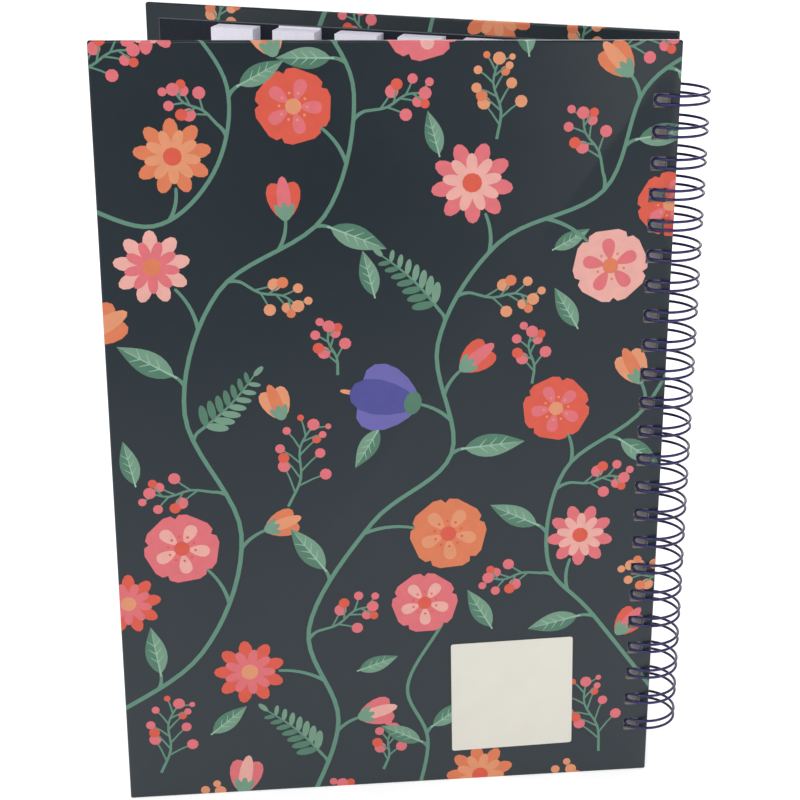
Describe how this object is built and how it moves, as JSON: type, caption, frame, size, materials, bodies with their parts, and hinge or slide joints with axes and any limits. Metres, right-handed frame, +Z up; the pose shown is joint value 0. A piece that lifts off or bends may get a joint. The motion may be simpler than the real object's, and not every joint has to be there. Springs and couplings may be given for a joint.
{
  "type": "sticky note book",
  "caption": "Hard-cover sticky note book with a twin-loop wire spine: ruled leaves, a row of page flags and note pads inside the front cover, standing slightly open.",
  "frame": {"origin": "middle of the floor rectangle that the standing, slightly open book takes, at floor level", "axes": "+Z up along the wire spine, +X towards the wire spine, -Y out of the back cover, +Y out of the front cover"},
  "size_m": [0.158, 0.069, 0.2175],
  "materials": {
    "cover_print": "dark slate print on paper with a matt film, over board",
    "lining_paper": "plain dark uncoated paper",
    "wire_enamel": "dark violet enamel on steel wire",
    "leaf_paper": "uncoated writing paper",
    "note_paper": "pale uncoated note paper",
    "sticker_paper": "semi-gloss white label paper, blank"
  },
  "bodies": {
    "back": {"back_cover": "cover_print", "back_lining": "lining_paper", "wire_binding": "wire_enamel", "blank_sticker": "sticker_paper"},
    "leaves_1": {"leaf_bundle_1": "leaf_paper"},
    "leaves_2": {"leaf_bundle_2": "leaf_paper"},
    "leaves_3": {"leaf_bundle_3": "leaf_paper"},
    "front": {"front_cover": "cover_print", "front_lining": "lining_paper", "flag_pad_1": "note_paper", "flag_pad_2": "note_paper", "flag_pad_3": "note_paper", "flag_pad_4": "note_paper", "flag_pad_5": "note_paper", "narrow_note_pad": "note_paper", "square_note_pad": "note_paper", "wide_note_pad": "note_paper"}
  },
  "joints": [
    {"name": "front_cover_hinge", "type": "hinge", "parent": "back", "child": "front", "pos_m": [0.06922, 0, 0], "axis": [0, 0, -1], "range_deg": [-17, 160]},
    {"name": "leaves_1_hinge", "type": "hinge", "parent": "back", "child": "leaves_1", "pos_m": [0.06922, 0, 0], "axis": [0, 0, -1], "range_deg": [-1.01, 9.43]},
    {"name": "leaves_2_hinge", "type": "hinge", "parent": "back", "child": "leaves_2", "pos_m": [0.06922, 0, 0], "axis": [0, 0, -1], "range_deg": [-2.41, 22.6]},
    {"name": "leaves_3_hinge", "type": "hinge", "parent": "back", "child": "leaves_3", "pos_m": [0.06922, 0, 0], "axis": [0, 0, -1], "range_deg": [-4.21, 39.55]}
  ],
  "couplings": [
    {"joint": "leaves_1_hinge", "follows": "front_cover_hinge", "ratio": 0.058824},
    {"joint": "leaves_2_hinge", "follows": "front_cover_hinge", "ratio": 0.14118},
    {"joint": "leaves_3_hinge", "follows": "front_cover_hinge", "ratio": 0.24706}
  ]
}
